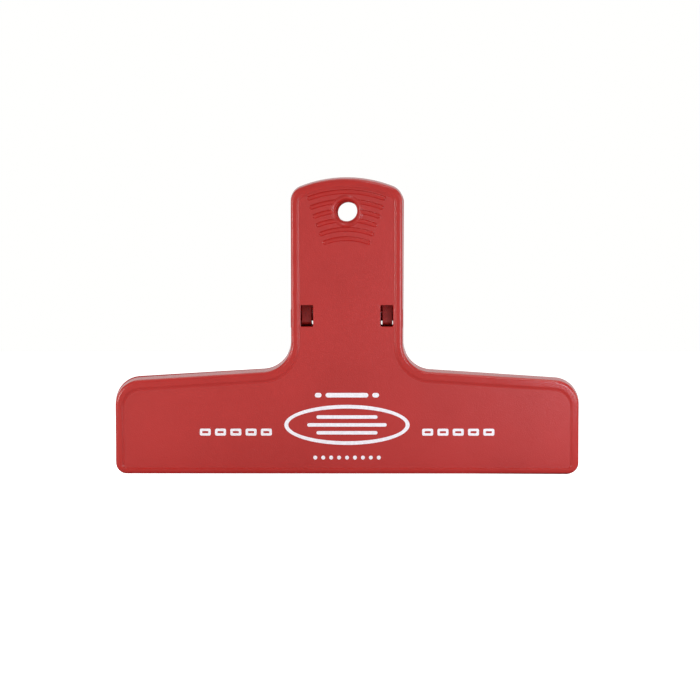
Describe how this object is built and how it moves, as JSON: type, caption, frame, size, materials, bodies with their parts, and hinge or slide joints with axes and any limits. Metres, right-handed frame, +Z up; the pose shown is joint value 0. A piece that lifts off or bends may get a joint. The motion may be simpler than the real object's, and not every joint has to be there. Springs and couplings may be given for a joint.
{
  "type": "binder clip",
  "caption": "Wide T-shaped plastic spring clip with a thumb handle and a hanging hole; squeezing the handles opens the jaw to grip paper or thin leather.",
  "frame": {"origin": "middle of the closed lips, on the surface the clip stands on", "axes": "+X along the jaw, +Z up the handle, the front half faces -Y"},
  "size_m": [0.152, 0.0298, 0.0972],
  "materials": {
    "front_plastic": "fine matte panel inside a smooth raised rim",
    "rear_plastic": "fine matte panel inside a smooth raised rim",
    "spring_steel": "bright rolled strip",
    "pad_print": "thin white printed ink"
  },
  "bodies": {
    "rear": {"rear_half": "rear_plastic", "spring": "spring_steel"},
    "front": {"front_half": "front_plastic"}
  },
  "joints": [
    {"name": "jaw_hinge", "type": "hinge", "parent": "rear", "child": "front", "pos_m": [0, 0, 0.0519], "axis": [-1, 0, 0], "range_deg": [0, 24], "stiffness_Nm_per_rad": 0.03, "springref_deg": -20.05, "deforming": ["spring"]}
  ]
}
